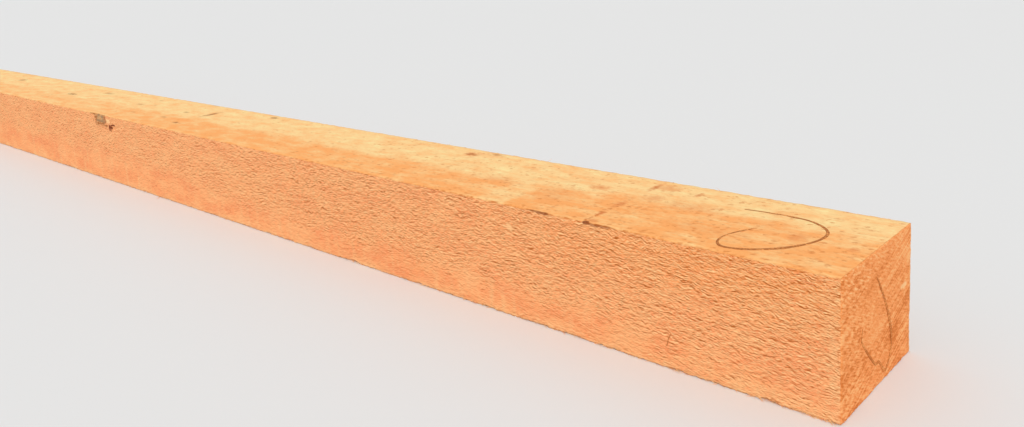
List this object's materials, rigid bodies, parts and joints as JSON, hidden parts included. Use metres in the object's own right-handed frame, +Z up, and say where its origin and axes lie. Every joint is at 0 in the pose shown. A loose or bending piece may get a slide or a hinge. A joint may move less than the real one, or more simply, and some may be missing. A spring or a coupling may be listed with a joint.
{
  "type": "sawn timber",
  "caption": "Rough-sawn square-cut timber, one straight length of rectangular stock with broken arrises, for framing, posts and bearers.",
  "frame": {"origin": "middle of the underside, where the timber rests", "axes": "+X along the length, towards the end that carries the marked-out loop; +Y across the width, away from the fuzzy side with the torn pit; +Z up"},
  "size_m": [2.4384, 0.127, 0.1016],
  "materials": {
    "fresh_sawn_wood": "rough sawn, unplaned, no coating"
  },
  "bodies": {
    "root": {"sawn_timber": "fresh_sawn_wood"}
  },
  "joints": []
}
